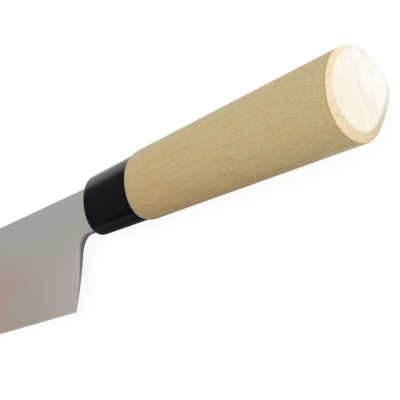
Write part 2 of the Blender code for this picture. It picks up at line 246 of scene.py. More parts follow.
class UsubaStageSettings(bpy.types.PropertyGroup):
    """Floor, light and camera."""
    floor: colour("Floor", "Pale floor", "#E6E6E6")
    room: colour("Room", "Soft light from all round", "#BCBCBC")
    ceiling: colour("Ceiling", "The room overhead, as glossy faces see it", "#DADADA")
    focal_length: bpy.props.FloatProperty(
        name="Focal length", description="Lens of the camera", default=108.0, min=1.0, unit="CAMERA")


def settings():
    """The settings of grip, ferrule, blade and stage."""
    return [getattr(bpy.context.scene, name) for name in GROUPS]


def pick(piece):
    """Select one piece alone and make it active."""
    bpy.ops.object.select_all(action="DESELECT")
    piece.select_set(True)
    bpy.context.view_layer.objects.active = piece


def start_editing(piece):
    """Open one piece in edit mode with its whole mesh selected."""
    pick(piece)
    bpy.ops.object.mode_set(mode="EDIT")
    bpy.ops.mesh.select_mode(type="VERT")
    bpy.ops.mesh.select_all(action="SELECT")


def stop_editing():
    """Go back to object mode."""
    bpy.ops.object.mode_set(mode="OBJECT")


def select(piece, kind, test):
    """In edit mode, select just the verts or edges that pass a test."""
    bpy.ops.mesh.select_mode(type=kind)
    bpy.ops.mesh.select_all(action="DESELECT")
    bm = bmesh.from_edit_mesh(piece.data)
    found = [item for item in (bm.verts if kind == "VERT" else bm.edges) if test(item)]
    for item in found:
        item.select_set(True)
    bm.select_flush_mode()
    bmesh.update_edit_mesh(piece.data)
    if not found:
        raise RuntimeError(f"{piece.name}: nothing to select")


def new_object(name, operator, **values):
    """Deselect everything, add an object with one of Blender's operators, and name it."""
    bpy.ops.object.select_all(action="DESELECT")
    operator(**values)
    bpy.context.object.name = name
    return bpy.context.object


def extrude_ring(piece, ring, points):
    """Extrude the selected open ring and move each new vertex to its point."""
    bpy.ops.mesh.extrude_region_move()
    bm = bmesh.from_edit_mesh(piece.data)
    bm.verts.ensure_lookup_table()
    bm.verts.index_update()
    fresh = []
    for index, point in zip(ring, points):
        old = bm.verts[index]
        new = next(edge.other_vert(old) for edge in old.link_edges if edge.other_vert(old).select)
        new.co = point
        fresh.append(new.index)
    bmesh.update_edit_mesh(piece.data)
    return fresh


def loft(name, rings):
    """Move a circle to the first ring, extrude from ring to ring, and fill both ends."""
    first = range(len(rings[0]))
    piece = new_object(
        name, bpy.ops.mesh.primitive_circle_add, vertices=len(first), location=(0.0, 0.0, 0.0))
    piece.data.name = name
    for vertex, point in zip(piece.data.vertices, rings[0]):
        vertex.co = point
    start_editing(piece)
    last = first
    for points in rings[1:]:
        last = extrude_ring(piece, last, points)
    bpy.ops.mesh.edge_face_add()
    select(piece, "VERT", lambda vertex: vertex.index in first)
    bpy.ops.mesh.edge_face_add()
    bpy.ops.mesh.select_all(action="SELECT")
    bpy.ops.mesh.normals_make_consistent(inside=False)
    stop_editing()
    return piece


def block(name, low, high):
    """A cube stretched between two corners in edit mode."""
    low = Vector(low)
    high = Vector(high)
    piece = new_object(name, bpy.ops.mesh.primitive_cube_add, size=1.0, location=(0.0, 0.0, 0.0))
    start_editing(piece)
    bpy.ops.transform.resize(value=high - low)
    bpy.ops.transform.translate(value=(low + high) / 2)
    stop_editing()
    return piece


def combine(piece, other, operation="DIFFERENCE"):
    """Cut, join or keep the common part of two closed meshes, and delete the second."""
    modifier = piece.modifiers.new(other.name, "BOOLEAN")
    modifier.operation = operation
    modifier.solver = "EXACT"
    modifier.object = other
    bpy.context.view_layer.objects.active = piece
    bpy.ops.object.modifier_apply(modifier=modifier.name)
    bpy.data.objects.remove(other, do_unlink=True)


def round_edges(piece, test, radius):
    """Bevel the edges that pass a test."""
    start_editing(piece)
    select(piece, "EDGE", test)
    bpy.ops.mesh.bevel(offset=radius, segments=ARRIS_STEPS, profile=0.5, affect="EDGES", clamp_overlap=True)
    stop_editing()


def finish_shading(piece, sharp=None):
    """Shade smooth up to an angle, keep named lines crisp, and keep large flats flat."""
    pick(piece)
    bpy.ops.object.shade_smooth_by_angle(angle=SMOOTH_ANGLE)
    if sharp:
        start_editing(piece)
        select(piece, "EDGE", sharp)
        bpy.ops.mesh.mark_sharp()
        stop_editing()
    modifier = piece.modifiers.new("Flat faces", "WEIGHTED_NORMAL")
    modifier.keep_sharp = True
    bpy.ops.object.modifier_apply(modifier=modifier.name)


def quarter_turn(steps):
    """Cosine and sine at even steps of a quarter turn."""
    angles = [math.pi / 2 * i / steps for i in range(steps + 1)]
    return [(math.cos(angle), math.sin(angle)) for angle in angles]


def d_section(x, half_height, back_depth, ridge_depth, shift_y=0.0, shift_z=0.0, edge_fullness=FULLNESS):
    """One D section: a full rounded back towards the ura, and two bowed flanks meeting at a soft ridge.

    The back's quarter on the edge side has a fullness of its own.
    """
    def flank(side, share):
        y = side * half_height * (1 - share ** FULLNESS) - RIDGE_OFFSET * share ** 2
        return Vector((y, -ridge_depth * share))

    outline = []
    for i in range(BACK_STEPS):
        angle = math.pi * i / BACK_STEPS
        power = 2 / (edge_fullness if angle < math.pi / 2 else FULLNESS)
        across = math.copysign(abs(math.cos(angle)) ** power, math.cos(angle))
        outline.append(Vector((half_height * across, back_depth * math.sin(angle) ** power)))
    for i in range(FLANK_STEPS):
        outline.append(flank(-1, (1 - RIDGE_BLEND) * i / FLANK_STEPS))
    entry = flank(-1, 1 - RIDGE_BLEND)
    crest = flank(-1, 1)
    leave = flank(1, 1 - RIDGE_BLEND)
    for i in range(RIDGE_STEPS + 1):
        t = i / RIDGE_STEPS
        outline.append(entry * (1 - t) ** 2 + crest * 2 * t * (1 - t) + leave * t ** 2)
    for i in range(FLANK_STEPS - 1, 0, -1):
        outline.append(flank(1, (1 - RIDGE_BLEND) * i / FLANK_STEPS))
    return [(x, point.x + shift_y, point.y + shift_z) for point in outline]


def rounded(corners):
    """Points of a closed outline whose corners (x, y, radius) are rounded by arcs."""
    points = []
    for i, (x, y, radius) in enumerate(corners):
        corner = Vector((x, y))
        if radius <= 0:
            points.append(corner)
            continue
        before = (Vector(corners[i - 1][:2]) - corner).normalized()
        after = (Vector(corners[(i + 1) % len(corners)][:2]) - corner).normalized()
        half = before.angle(after) / 2
        centre = corner + (before + after).normalized() * radius / math.sin(half)
        start = corner + before * radius / math.tan(half) - centre
        turn = math.pi - 2 * half
        side = math.copysign(1.0, before.x * after.y - before.y * after.x)
        steps = max(3, math.ceil(turn / ARC_STEP))
        for k in range(steps + 1):
            points.append(centre + Matrix.Rotation(-side * turn * k / steps, 2) @ start)
    return points


def ferrule_section(ferrule, x, inset):
    """The ferrule's D section at x, drawn in by inset all round."""
    share = (x - BACK_X) / (FRONT_X - BACK_X)
    pairs = (
        (ferrule.back_half_height, ferrule.front_half_height),
        (ferrule.back_depth, ferrule.front_depth),
        (ferrule.back_ridge, ferrule.front_ridge))
    return d_section(x, *[back + (front - back) * share - inset for back, front in pairs])


def tip_x(blade):
    """Where the line of the tip meets the line of the edge."""
    return FRONT_X + blade.heel_forward + blade.edge_length


def middle_z(blade):
    """Height of the middle of the tang and of the unground plate."""
    return URA_Z - blade.spine_neck / 2


def tang_solid(name, blade, margin, front_x, spare_end=0.0):
    """The tapered tang, grown by margin all round and run forward to front_x."""
    end_x = TANG_END_X - margin - spare_end
    slope = (blade.tang_front - blade.tang_back) / 2 / (SHOULDER_X - TANG_END_X)
    front = blade.tang_back / 2 + slope * (front_x - TANG_END_X) + margin
    back = blade.tang_back / 2 - slope * (TANG_END_X - end_x) + margin
    radius = blade.tang_radius + margin
    outline = rounded([
        (front_x, -front, 0), (front_x, front, 0), (end_x, back, radius), (end_x, -back, radius)])
    middle = middle_z(blade)
    half = blade.tang_thickness / 2 + margin
    return loft(name, [[(x, y, z) for x, y in outline] for z in (middle - half, middle + half)])


def choil_corner(blade):
    """Where the lines of neck and choil meet."""
    return FRONT_X + blade.choil_start, blade.neck_drop + blade.neck_fall


def blade_outline(blade):
    """The blade seen from its side: neck, choil, heel, edge, tip and spine."""
    choil_x, neck_y = choil_corner(blade)
    return rounded([
        (SHOULDER_X, SPINE_Y, 0),
        (SHOULDER_X, blade.neck_drop, 0),
        (choil_x, neck_y, blade.choil_radius),
        (choil_x + blade.bend_forward, neck_y + blade.bend_drop, blade.bend_radius),
        (FRONT_X + blade.heel_forward, EDGE_Y, blade.heel_radius),
        (tip_x(blade), EDGE_Y, blade.tip_edge_radius),
        (tip_x(blade) - blade.tip_setback, SPINE_Y, blade.tip_spine_radius)])


def thickness(blade, x, y):
    """Thickness of the ground blade at a place: tapered flat above the bevel line, bevel below it."""
    start_x = SHOULDER_X - BLANK_OVERRUN
    share = (x - start_x) / (tip_x(blade) + BLANK_OVERRUN - start_x)
    spine = blade.spine_neck + (blade.spine_tip - blade.spine_neck) * share
    shinogi = blade.shinogi_neck + (blade.shinogi_tip - blade.shinogi_neck) * share
    shinogi_y = EDGE_Y - blade.bevel_width
    if y <= shinogi_y:
        return spine + (shinogi - spine) * (y - SPINE_Y) / (shinogi_y - SPINE_Y)
    return shinogi + (blade.edge_land - shinogi) * (y - shinogi_y) / blade.bevel_width


def hollow(blade, x, y):
    """Depth of the hollow back at a place: nothing on the flat rim, and no step where the rim ends."""
    top = SPINE_Y + blade.hollow_rim
    bottom = EDGE_Y - blade.hollow_rim
    choil_x, neck_y = choil_corner(blade)
    choil_slope = (blade.heel_forward - blade.choil_start) / (EDGE_Y - neck_y)
    heel_side = choil_x + choil_slope * (y - neck_y) + blade.hollow_rim
    tip_side = tip_x(blade) - blade.tip_setback * (EDGE_Y - y) / (EDGE_Y - SPINE_Y) - blade.hollow_rim
    u = 2 * (x - heel_side) / (tip_side - heel_side) - 1
    v = 2 * (y - top) / (bottom - top) - 1
    if abs(u) >= 1 or abs(v) >= 1:
        return 0.0
    ends = (1 - u ** HOLLOW_SQUARENESS) ** HOLLOW_SOFTNESS
    return blade.hollow_depth * (1 - v ** 2) ** HOLLOW_SOFTNESS * ends


def divided(points, step):
    """The same closed outline with its long stretches divided."""
    path = []
    for i, start in enumerate(points):
        end = points[(i + 1) % len(points)]
        steps = math.ceil((end - start).length / step)
        path.extend(start.lerp(end, k / steps) for k in range(steps))
    return path


def arris_size(blade, point, side):
    """Rounding of one arris at a place: full along neck and choil, and fading out down the bevel."""
    along_choil = point.x < FRONT_X + blade.heel_forward + SAME_PLACE and point.y > SPINE_Y + SAME_PLACE
    full = blade.spine_ease
    if along_choil:
        full = blade.choil_ease if side > 0 else blade.front_ease
    down = max(0.0, (point.y - EDGE_Y) / blade.bevel_width + 1)
    return max(SMALLEST_EASE, full * (1 - down))


def ground_blade(blade, name):
    """The whole blade before it is parted into its two metals.

    A flat plate with rounded arrises is divided into a grid, and its underside pressed to the ground form.
    """
    outline = divided(blade_outline(blade), PATH_STEP)
    count = len(outline)
    inwards = []
    for i, point in enumerate(outline):
        along = (point - outline[i - 1]).normalized() + (outline[(i + 1) % count] - point).normalized()
        inward = Vector((along.y, -along.x)).normalized()
        if abs(point.x - SHOULDER_X) < SAME_PLACE:
            # The shoulder's end face stays square
            at_spine = point.y < SPINE_Y + SAME_PLACE
            at_neck = point.y > blade.neck_drop - SAME_PLACE
            inward = Vector((0.0, float(at_spine) - float(at_neck)))
        inwards.append(inward)
    base = URA_Z - blade.spine_neck
    rings = []
    for side in (1, -1):
        for cosine, sine in quarter_turn(EASE_STEPS)[::side]:
            ring = []
            for point, inward in zip(outline, inwards):
                size = arris_size(blade, point, side)
                place = point + inward * size * (1 - sine)
                drop = size * (1 - cosine)
                ring.append((place.x, place.y, URA_Z - drop if side > 0 else base + drop))
            rings.append(ring)
    piece = loft(name, rings)
    start_editing(piece)
    columns = [(SHOULDER_X + (tip_x(blade) - SHOULDER_X) * i / COLUMNS, 0) for i in range(1, COLUMNS)]
    rows = [(SPINE_Y + (EDGE_Y - SPINE_Y) * i / ROWS, 1) for i in range(1, ROWS)]
    for place, axis in columns + rows + [(EDGE_Y - blade.bevel_width, 1)]:
        bpy.ops.mesh.select_all(action="SELECT")
        bpy.ops.mesh.bisect(
            plane_co=(place, place, 0.0), plane_no=(1.0 - axis, float(axis), 0.0), threshold=SAME_PLACE / 10)
    stop_editing()
    for vertex in piece.data.vertices:
        if vertex.co.z < middle_z(blade):
            vertex.co.z += blade.spine_neck - thickness(blade, vertex.co.x, vertex.co.y)
    return piece


def feed(tree, node, inputs):
    """Give a node's inputs their values, or link them where the value is another node's output."""
    for socket, value in inputs.items():
        if isinstance(value, bpy.types.NodeSocket):
            tree.links.new(value, node.inputs[socket])
        else:
            node.inputs[socket].default_value = value


def add(tree, kind, inputs=None, out=0, **values):
    """Add a node, such as MapRange, with its settings and links, and return one of its outputs."""
    node = tree.nodes.new("ShaderNode" + kind)
    for name, value in values.items():
        setattr(node, name, value)
    feed(tree, node, inputs or {})
    return node.outputs[out] if node.outputs else None


def new_material(name):
    """A material, its nodes, its Principled shader and the place on the piece that patterns follow."""
    material = bpy.data.materials.new(name)
    material.use_nodes = True
    tree = material.node_tree
    return material, tree, tree.nodes["Principled BSDF"], add(tree, "TexCoord", out="Object")


def tint(tree, base, coats):
    """Lay coats over a base colour: each a pattern, its values at none and most, how much, and a colour."""
    for pattern, none, most, amount, shade in coats:
        share = add(tree, "MapRange", {
            "Value": pattern, "From Min": none, "From Max": most, "To Max": amount})
        base = add(tree, "Mix", {"Factor": share, 6: base, 7: shade}, 2, data_type="RGBA")
    return base


def roughen(tree, shader, pattern, smooth, rough, strength, depth):
    """Let one fine pattern vary a face's roughness between two values, and its height."""
    gloss = add(tree, "MapRange", {
        "Value": pattern, "From Min": NOISE_LOW, "From Max": NOISE_HIGH, "To Min": smooth, "To Max": rough})
    bump = add(tree, "Bump", {"Height": pattern, "Strength": strength, "Distance": depth})
    feed(tree, shader, {"Roughness": gloss, "Normal": bump})


def seen_directly(tree):
    """1 for what is seen by the camera, also in glossy or clear faces, and 0 for what lights matt faces."""
    camera, glossy, clear = (
        add(tree, "LightPath", out=f"Is {kind} Ray") for kind in ("Camera", "Glossy", "Transmission"))
    seen = add(tree, "Math", {0: camera, 1: glossy}, operation="MAXIMUM")
    return add(tree, "Math", {0: seen, 1: clear}, operation="MAXIMUM")


def sanded_magnolia(grip):
    """Magnolia, planed, sanded and left bare: fine vessel lines, faint growth lines and pale end grain."""
    material, tree, shader, place = new_material("Sanded bare magnolia")
    depth = add(tree, "SeparateXYZ", {"Vector": place}, "X")
    # Millimetres, turned so that the growth layers lie across local Z and the paler side, where light is
    # painted, is at +Z
    grain = add(tree, "Mapping", {
        "Vector": place, "Rotation": (math.radians(-143.3), 0.0, 0.0), "Scale": (1000.0, 1000.0, 1000.0)})
    across = add(tree, "SeparateXYZ", {"Vector": grain}, "Z")
    # Growth layers 14 mm apart, the nearest 0.6 mm off the axis: the wave repeats at 0.31416 over its scale
    drawn_out = add(tree, "Mapping", {
        "Vector": grain, "Scale": (0.015, 0.2, 1.0), "Location": (0.0, 0.0, 6.37)})
    layers = add(tree, "TexWave", {
        "Vector": drawn_out, "Scale": 0.31416 / 14.0, "Distortion": 0.15, "Detail": 2.0,
        "Detail Scale": 2.0}, "Fac", bands_direction="Z", wave_profile="SIN")
    # The wood turns warmer from the butt to the blade and from the spine side to the edge side, where the
    # warmer colour is painted shade
    slant = add(tree, "Mapping", {
        "Vector": place, "Rotation": (0.0, 0.0, math.radians(-82.0)), "Scale": (55.0, 55.0, 55.0)})
    warmth_and_shade = add(tree, "SeparateXYZ", {"Vector": slant}, "X")
    # Towards the blade and the edge side the vessel lines grow fainter and the streaks stronger
    faded = add(tree, "MapRange", {
        "Value": depth, "From Min": 0.02, "From Max": 0.09, "To Min": 1.0, "To Max": 0.55})
    streaked = add(tree, "MapRange", {
        "Value": warmth_and_shade, "From Min": 0.1, "From Max": 1.0, "To Min": 0.25, "To Max": 0.6})
    # Along the grain, per millimetre: patches 7 by 3 mm, streaks 14 by 1 mm, vessel lines 0.7 by 0.3 mm and
    # pores of 0.4 mm. Over the butt from spine to edge side, per metre: clouds 8 by 2 mm, and marks of
    # sanding 5.5 by 0.7 mm
    middle = (0.0, 0.0, 0.0)
    patches, streaks, vessels, pores, clouds, sanding = (
        add(tree, "TexNoise", {
            "Vector": add(tree, "Mapping", {"Vector": space, "Scale": scale, "Location": start}),
            "Scale": 1.0, "Detail": detail, "Roughness": roughness})
        for space, scale, start, detail, roughness in (
            (grain, (0.14, 0.35, 0.35), (0.0, 0.0, 4.0), 3.0, 0.5),
            (grain, (0.07, 1.0, 1.0), middle, 3.0, 0.6),
            (grain, (1.4, 3.6, 3.6), middle, 3.0, 0.75),
            (grain, (2.5, 2.5, 2.5), middle, 2.0, 0.7),
            (place, (150.0, 130.0, 500.0), middle, 2.0, 0.5),
            (place, (200.0, 180.0, 1500.0), middle, 3.0, 0.5)))
    # Depth counts in metres from the butt, and across in millimetres from the axis
    side = tint(tree, grip.wood, (
        (patches, 0.50, 0.66, 1.0, grip.rosy_wood),
        (patches, 0.50, 0.34, 1.0, grip.green_wood),
        # Painted light: paler towards the butt
        (depth, 0.085, 0.0, 0.5, grip.lit_butt_wood),
        (warmth_and_shade, 0.50, -0.20, 0.5, grip.green_wood),
        # Painted shade: warmer towards the edge side
        (warmth_and_shade, 0.55, 1.15, 1.0, grip.edge_side_shade),
        # Painted sheen: paler towards the spine side
        (across, -5.0, 6.0, 1.0, grip.pale_grain_and_sheen),
        (streaks, 0.50, 0.72, streaked, grip.late_wood),
        (streaks, 0.50, 0.30, streaked, grip.pale_grain_and_sheen),
        (vessels, 0.48, 0.70, faded, grip.late_wood),
        (vessels, 0.52, 0.30, faded, grip.pale_grain_and_sheen),
        (layers, 0.9984, 1.0, 0.25, grip.late_wood)))
    # A growth line shows on the end grain as it is cut across
    end = tint(tree, grip.end_grain, (
        # Painted highlight: paler towards the upper side
        (across, -5.0, 6.0, 1.0, grip.end_highlight),
        (clouds, 0.40, 0.65, 0.6, grip.end_shade),
        (layers, 0.9984, 1.0, 0.45, grip.end_line),
        (sanding, 0.45, 0.75, 0.25, grip.end_line)))
    chamfer = tint(tree, grip.chamfer, (
        # Painted shade: yellower towards the edge side
        (warmth_and_shade, 0.20, 0.60, 0.25, grip.chamfer_pores_and_shade),
        (pores, 0.45, 0.70, 0.7, grip.chamfer_pores_and_shade),
        (pores, 0.45, 0.25, 0.6, grip.chamfer_flecks_and_light),
        # Painted light: paler towards the spine side
        (across, 1.0, 8.5, 1.0, grip.chamfer_flecks_and_light)))
    # From the butt: its flat, its chamfer, a darker line along the arris, and the long grain
    ragged = add(tree, "MapRange", {
        "Value": pores, "From Min": NOISE_LOW, "From Max": NOISE_HIGH,
        "To Min": -0.00006, "To Max": 0.00006})
    ragged = add(tree, "Math", {0: depth, 1: ragged}, operation="ADD")
    edge = grip.chamfer_length
    butt = tint(tree, end, ((ragged, 0.00004, 0.00020, 1.0, chamfer),))
    # The arris line, paler towards the spine side as painted light
    arris_line = tint(tree, grip.arris_line, ((across, -1.0, 4.0, 1.0, grip.chamfer_flecks_and_light),))
    side_with_arris = tint(tree, side, ((ragged, edge + 0.00050, edge + 0.00010, 1.0, arris_line),))
    face = tint(tree, butt, ((depth, edge - 0.00010, edge + 0.00002, 1.0, side_with_arris),))
    bump = add(tree, "Bump", {"Height": vessels, "Strength": 0.15, "Distance": 0.00005})
    feed(tree, shader, {"Base Color": face, "Normal": bump, "Roughness": 0.55, "Specular IOR Level": 0.4})
    return material


def polished_moulding(ferrule):
    """Black ABS, moulded and polished: deep black with a soft, clean highlight and faint rubbing marks."""
    material, tree, shader, place = new_material("Polished black ABS")
    feed(tree, shader, {"Base Color": ferrule.moulding, "IOR": 1.20})
    # Rubbing marks along the ring, 4 mm long and 0.2 mm wide
    marks = add(tree, "TexNoise", {
        "Vector": add(tree, "Mapping", {"Vector": place, "Scale": (250.0, 5000.0, 5000.0)}),
        "Scale": 1.0, "Detail": 3.0})
    roughen(tree, shader, marks, 0.12, 0.17, 0.04, 0.00002)
    return material


def ground_metal(name, base, lines, roughness, variation, clouds=None, start=(0.0, 0.0, 0.0), coats=()):
    """A metal face ground one way, so that its hairlines draw out the highlight.

    Each coat follows the haze of its clouds, the way down the blade or the distance from a place.
    """
    material, tree, shader, place = new_material(name)
    feed(tree, shader, {"Base Color": base, "Metallic": 1.0})
    hairlines = add(tree, "TexNoise", {
        "Vector": add(tree, "Mapping", {"Vector": place, "Scale": lines}),
        "Scale": 1.0, "Detail": 3.0, "Roughness": 0.6})
    roughen(tree, shader, hairlines, roughness - variation, roughness + variation, 0.05, 0.00001)
    if coats:
        shifted = add(tree, "Mapping", {"Vector": place, "Scale": clouds, "Location": start})
        haze = add(tree, "TexNoise", {"Vector": shifted, "Scale": 1.0, "Detail": 2.0})
        named = {"haze": haze, "down": add(tree, "SeparateXYZ", {"Vector": place}, "Y")}
        for source, *coat in coats:
            pattern = named.get(source) or add(
                tree, "VectorMath", {0: place, 1: source}, "Value", operation="DISTANCE")
            base = tint(tree, base, ((pattern, *coat),))
        feed(tree, shader, {"Base Color": base})
    return material


def scale_and_shade(blade):
    """Filed neck, choil, spine and tip: dark forge scale on the iron, which also stands in for painted
    shade, with painted light towards edge and back and where faces turn flat.
    """
    material, tree, shader, place = new_material("Forge scale and painted shade")
    # Mottling 1 mm across
    mottle = add(tree, "TexNoise", {"Vector": place, "Scale": 1000.0, "Detail": 4.0})
    height = add(tree, "SeparateXYZ", {"Vector": place}, "Z")
    down = add(tree, "SeparateXYZ", {"Vector": place}, "Y")
    normal = add(tree, "NewGeometry", out="Normal")
    tilt = add(tree, "SeparateXYZ", {"Vector": normal}, "Z")
    flat = add(tree, "Math", {0: tilt}, operation="ABSOLUTE")
    # Height and the way down in metres. Lighter towards the back and the edge and where faces turn flat, as
    # painted light; the dark walls between are painted shade
    face = tint(tree, blade.dark_scale_and_shade, (
        (mottle, NOISE_LOW, NOISE_HIGH, 0.4, blade.hazed_iron),
        (height, URA_Z - 0.0024, URA_Z - 0.0005, 0.6, blade.painted_light_steel),
        (down, 0.017, EDGE_Y, 0.9, blade.painted_light_steel),
        (flat, 0.30, 0.90, 1.0, blade.painted_light_steel)))
    roughen(tree, shader, mottle, 0.48, 0.60, 0.1, 0.00002)
    feed(tree, shader, {"Base Color": face, "Metallic": 0.5})
    return material


def cured_resin():
    """Epoxy, poured and cured: amber brown, slightly cloudy."""
    material, tree, shader, place = new_material("Cured epoxy")
    # Clouds 2.5 mm across
    cloud = add(tree, "TexNoise", {"Vector": place, "Scale": 400.0, "Detail": 2.0})
    face = tint(tree, linear("#6B5232"), ((cloud, 0.0, 1.0, 1.0, linear("#8A6C44")),))
    feed(tree, shader, {"Base Color": face, "Roughness": 0.35})
    return material


def paint_faces(piece, materials, choose):
    """Give the piece its materials, and each face the one that choose names by number."""
    piece.data.materials.clear()
    for material in materials:
        piece.data.materials.append(material)
    for face in piece.data.polygons:
        face.material_index = choose(face)


def blade_finish(blade, face, bevel_start):
    """2 for tang, neck, choil, spine and tip with their scale and painted shade, 1 for the bevel, and 0 for
    flat or back.
    """
    if face.center.y > bevel_start and face.normal.z < DOWN_LEAN:
        return 1
    under = face.normal.x < CHOIL_LEAN or face.normal.y > NECK_LEAN
    near = face.center.x < SHOULDER_X or under and face.center.x < FRONT_X + blade.heel_forward
    return 2 if near or face.normal.x > TIP_LEAN or face.normal.y < SPINE_LEAN else 0


class USUBA_OT_grip(bpy.types.Operator):
    """Loft the D-shaped magnolia grip, chamfer its butt, round its front and cut the mortise"""
    bl_idname = "usuba.grip"
    bl_label = "Grip"

    def execute(self, context):
        grip, ferrule, blade, _ = settings()
        front_x = BACK_X - SEAT_GAP
        rings = [d_section(
            0.0, grip.half_height - grip.chamfer_drop, grip.back_depth - grip.chamfer_inset,
            grip.ridge_depth - grip.chamfer_inset, *BUTT_SHIFT, BUTT_FULLNESS)]
        front = [
            size + grip.step for size in (ferrule.back_half_height, ferrule.back_depth, ferrule.back_ridge)]
        butt = [grip.half_height, grip.back_depth, grip.ridge_depth]
        arris_x = front_x - grip.front_length
        for i in range(GRIP_STATIONS):
            share = i / GRIP_STATIONS
            x = grip.chamfer_length + (arris_x - grip.chamfer_length) * share
            rings.append(d_section(x, *[a + (b - a) * share for a, b in zip(butt, front)]))
        for cosine, sine in quarter_turn(ROUND_STEPS):
            inset = grip.front_drop * (1 - cosine)
            rings.append(d_section(arris_x + grip.front_length * sine, *[size - inset for size in front]))
        stub_front_x = FRONT_X - ferrule.front_wall - SEAT_GAP
        for x in (front_x, stub_front_x):
            rings.append(ferrule_section(ferrule, x, ferrule.wall + PRESS_GAP))
        piece = loft("magnolia_grip", rings)
        for x in (0.0, grip.chamfer_length):
            round_edges(
                piece, lambda edge: all(abs(v.co.x - x) < SAME_PLACE for v in edge.verts), grip.arris_radius)
        combine(piece, tang_solid("mortise", blade, grip.mortise_clearance, FRONT_X, grip.mortise_spare))
        finish_shading(piece)
        paint_faces(piece, [sanded_magnolia(grip)], lambda face: 0)
        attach(piece, "root")
        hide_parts("handle")
        return {"FINISHED"}


class USUBA_OT_ferrule(bpy.types.Operator):
    """Loft the moulded ferrule with its rounded nose, hollow it and cut the tang's slot"""
    bl_idname = "usuba.ferrule"
    bl_label = "Ferrule"

    def execute(self, context):
        _, ferrule, blade, _ = settings()
        rings = []
        for cosine, sine in quarter_turn(EASE_STEPS):
            x = BACK_X + ferrule.lip_radius * (1 - cosine)
            rings.append(ferrule_section(ferrule, x, ferrule.lip_radius * (1 - sine)))
        nose_x = FRONT_X - ferrule.nose_radius
        for cosine, sine in quarter_turn(ROUND_STEPS):
            x = nose_x + ferrule.nose_radius * sine
            rings.append(ferrule_section(ferrule, x, ferrule.nose_radius * (1 - cosine)))
        piece = loft("moulded_ferrule", rings)
        ends = (BACK_X - ferrule.wall, FRONT_X - ferrule.front_wall)
        combine(piece, loft("socket", [ferrule_section(ferrule, x, ferrule.wall) for x in ends]))
        half_height = blade.tang_front / 2 + ferrule.slot_clearance
        half_width = blade.tang_thickness / 2 + ferrule.slot_clearance
        middle = middle_z(blade)
        low = (FRONT_X - ferrule.front_wall - CUTTER_OVERRUN, -half_height, middle - half_width)
        high = (FRONT_X + CUTTER_OVERRUN, half_height, middle + half_width)
        combine(piece, block("slot", low, high))
        finish_shading(piece)
        paint_faces(piece, [polished_moulding(ferrule)], lambda face: 0)
        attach(piece, "root")
        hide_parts("ferrule")
        return {"FINISHED"}


class USUBA_OT_soft_iron(bpy.types.Operator):
    """Grind the blade, keep its soft iron body and join the tang to it"""
    bl_idname = "usuba.soft_iron"
    bl_label = "Soft iron body"

    def execute(self, context):
        _, _, blade, _ = settings()
        piece = ground_blade(blade, "soft_iron_body")
        combine(piece, tang_solid("tang", blade, 0.0, SHOULDER_X + blade.tang_root), "UNION")
        low = (SHOULDER_X - BLANK_OVERRUN / 2 - WELD_GAP, SPINE_Y - CUTTER_OVERRUN, LAYER_Z - WELD_GAP)
        high = (tip_x(blade) + CUTTER_OVERRUN, EDGE_Y + CUTTER_OVERRUN, URA_Z + CUTTER_OVERRUN)
        combine(piece, block("steel_room", low, high))
        # The line between flat and bevel stays crisp
        shinogi_y = EDGE_Y - blade.bevel_width
        finish_shading(piece, lambda edge: all(
            abs(v.co.y - shinogi_y) < SAME_PLACE and v.co.z < LAYER_Z - SAME_PLACE for v in edge.verts))
        # Dull, with soft clouds 30 mm long and 12 mm wide, as stones and oil leave them
        haze = (33.0, 80.0, 80.0)
        satin = ground_metal(
            "Satin ground soft iron", blade.soft_iron, LINES_ALONG, 0.34, 0.05, haze,
            coats=(("haze", 0.35, 0.65, 0.3, blade.hazed_iron),))
        hazed = ground_metal(
            "Stone hazed soft iron", blade.hazed_iron, LINES_ACROSS, 0.46, 0.04, haze,
            coats=(("haze", 0.35, 0.65, 0.5, blade.soft_iron),))
        finishes = [satin, hazed, scale_and_shade(blade)]
        paint_faces(piece, finishes, lambda face: blade_finish(blade, face, shinogi_y))
        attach(piece, "root")
        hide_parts("jigane")
        return {"FINISHED"}


class USUBA_OT_hard_steel(bpy.types.Operator):
    """Grind the blade, keep its hard steel layer and hollow its back"""
    bl_idname = "usuba.hard_steel"
    bl_label = "Hard steel layer"

    def execute(self, context):
        _, _, blade, _ = settings()
        piece = ground_blade(blade, "hard_steel_layer")
        low = (SHOULDER_X - CUTTER_OVERRUN, SPINE_Y - CUTTER_OVERRUN, LAYER_Z)
        high = (tip_x(blade) + CUTTER_OVERRUN, EDGE_Y + CUTTER_OVERRUN, URA_Z + CUTTER_OVERRUN)
        combine(piece, block("steel_layer", low, high), "INTERSECT")
        for vertex in piece.data.vertices:
            if vertex.co.z > URA_Z - SAME_PLACE:
                vertex.co.z -= hollow(blade, vertex.co.x, vertex.co.y)
        # The line where the two metals meet stays crisp
        finish_shading(piece, lambda edge: edge.calc_face_angle(0.0) > SEAM_ANGLE and all(
            abs(v.co.z - LAYER_Z) < SAME_PLACE for v in edge.verts))
        heel = (FRONT_X + blade.heel_forward, EDGE_Y, URA_Z)
        # Bright, with a painted warm reflection in clouds 45 mm long and 22 mm wide: a faint one a third of
        # the way along, and wisps past it. Places and distances are in metres
        back = ground_metal(
            "Satin ground carbon steel", blade.back_steel, LINES_ALONG, 0.48, 0.03,
            (22.0, 45.0, 45.0), (-9.03, 2.52, 0.0), (
                ("down", 0.002, EDGE_Y, 1.0, blade.edge_steel),
                # Painted highlight round the heel
                (heel, 0.028, 0.004, 1.0, blade.heel_highlight),
                ("haze", 0.48, 0.66, 0.80, blade.warm_reflection)))
        honed = ground_metal("Honed carbon steel", blade.honed_steel, LINES_ACROSS, 0.24, 0.04)
        finishes = [back, honed, scale_and_shade(blade)]
        paint_faces(piece, finishes, lambda face: blade_finish(blade, face, SPINE_Y))
        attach(piece, "root")
        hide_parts("hagane")
        return {"FINISHED"}


